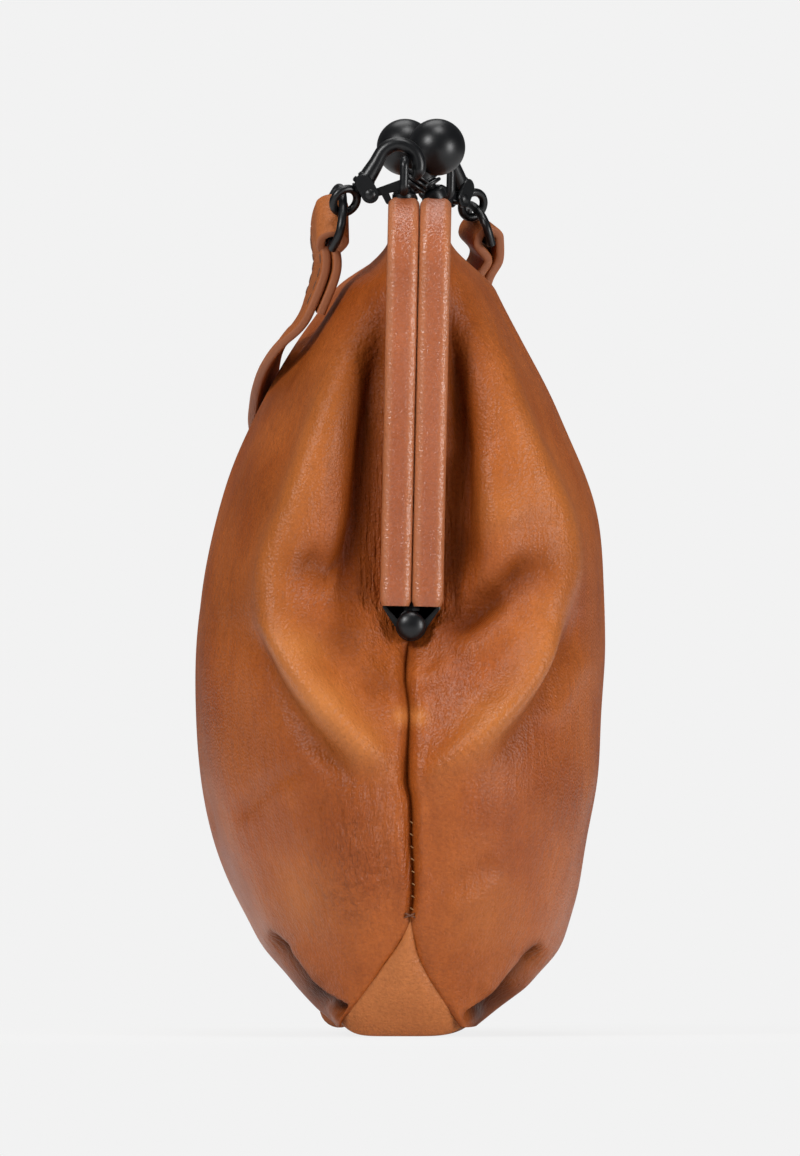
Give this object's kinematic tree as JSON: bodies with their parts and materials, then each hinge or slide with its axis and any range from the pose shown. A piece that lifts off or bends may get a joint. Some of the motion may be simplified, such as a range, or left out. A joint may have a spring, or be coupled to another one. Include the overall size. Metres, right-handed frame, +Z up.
{
  "type": "phone pouch",
  "caption": "Small upright leather pouch for a phone, with a kiss-lock frame that opens on side rivets and a detachable strap on swivel snap hooks.",
  "frame": {"origin": "on the floor under the middle of the pouch", "axes": "+Z up, X along the hinge line, +Y to the rear half that carries the near strap end"},
  "size_m": [0.1532, 0.0935, 0.2085],
  "materials": {
    "pouch_leather": "smooth tan leather with a soft sheen and fine grain",
    "frame_leather": "smooth reddish tan leather stretched over the frame",
    "lining_cloth": "matt woven cotton lining",
    "black_metal": "satin black coated metal",
    "spring_steel": "bright spring steel"
  },
  "bodies": {
    "pouch": {"rear_panel": "pouch_leather", "front_panel": "pouch_leather", "base_panel": "pouch_leather", "lining_rear": "lining_cloth", "lining_front": "lining_cloth", "slip_pocket": "lining_cloth", "rear_frame_core": "black_metal", "rear_frame_wrap": "frame_leather", "near_hinge_rivet": "black_metal", "far_hinge_rivet": "black_metal", "rear_lock_stem": "black_metal", "rear_lock_collar": "black_metal", "rear_lock_ball": "black_metal", "near_lug": "black_metal", "strap_near_end": "pouch_leather", "strap_hank": "pouch_leather", "strap_far_end": "pouch_leather", "strap_tie": "pouch_leather"},
    "front_frame": {"front_frame_core": "black_metal", "front_frame_wrap": "frame_leather", "front_lock_stem": "black_metal", "front_lock_collar": "black_metal", "front_lock_ball": "black_metal", "far_lug": "black_metal"},
    "near_clasp": {"near_hook": "black_metal", "near_gate_pin": "black_metal", "near_gate_spring": "spring_steel"},
    "near_gate": {"near_gate": "black_metal"},
    "near_swivel": {"near_swivel_eye": "black_metal", "near_d_ring": "black_metal"},
    "far_clasp": {"far_hook": "black_metal", "far_gate_pin": "black_metal", "far_gate_spring": "spring_steel"},
    "far_gate": {"far_gate": "black_metal"},
    "far_swivel": {"far_swivel_eye": "black_metal", "far_d_ring": "black_metal"}
  },
  "joints": [
    {"name": "front_frame_open", "type": "hinge", "parent": "pouch", "child": "front_frame", "pos_m": [0, -0.0024, 0.093], "axis": [1, 0, 0], "range_deg": [0, 60], "deforming": ["front_panel", "lining_front", "strap_far_end"]},
    {"name": "near_clasp_swing", "type": "hinge", "parent": "pouch", "child": "near_clasp", "pos_m": [-0.042, -0.00091, 0.19855], "axis": [1, 0, 0], "range_deg": [0, 30], "deforming": ["strap_near_end"]},
    {"name": "near_gate_press", "type": "hinge", "parent": "near_clasp", "child": "near_gate", "pos_m": [-0.042, 0.00686, 0.19071], "axis": [-1, 0, 0], "range_deg": [0, 22], "stiffness_Nm_per_rad": 0.01, "springref_deg": -8.59, "deforming": ["near_gate_spring"]},
    {"name": "near_swivel_turn", "type": "hinge", "parent": "near_clasp", "child": "near_swivel", "pos_m": [-0.042, 0.00936, 0.19257], "axis": [0, 0.6968, -0.7173], "range_deg": [-20, 20], "deforming": ["strap_near_end"]},
    {"name": "far_clasp_swing", "type": "hinge", "parent": "front_frame", "child": "far_clasp", "pos_m": [0.042, -0.00831, 0.1984], "axis": [-0.6157, -0.7878, -0.0165], "range_deg": [0, 30], "deforming": ["strap_far_end"]},
    {"name": "far_gate_press", "type": "hinge", "parent": "far_clasp", "child": "far_gate", "pos_m": [0.04831, -0.01308, 0.19071], "axis": [0.6157, 0.7878, 0.0165], "range_deg": [0, 22], "stiffness_Nm_per_rad": 0.01, "springref_deg": -8.59, "deforming": ["far_gate_spring"]},
    {"name": "far_swivel_turn", "type": "hinge", "parent": "far_clasp", "child": "far_swivel", "pos_m": [0.05024, -0.01463, 0.19261], "axis": [0.5666, -0.428, -0.7042], "range_deg": [-20, 20], "deforming": ["strap_far_end"]}
  ]
}
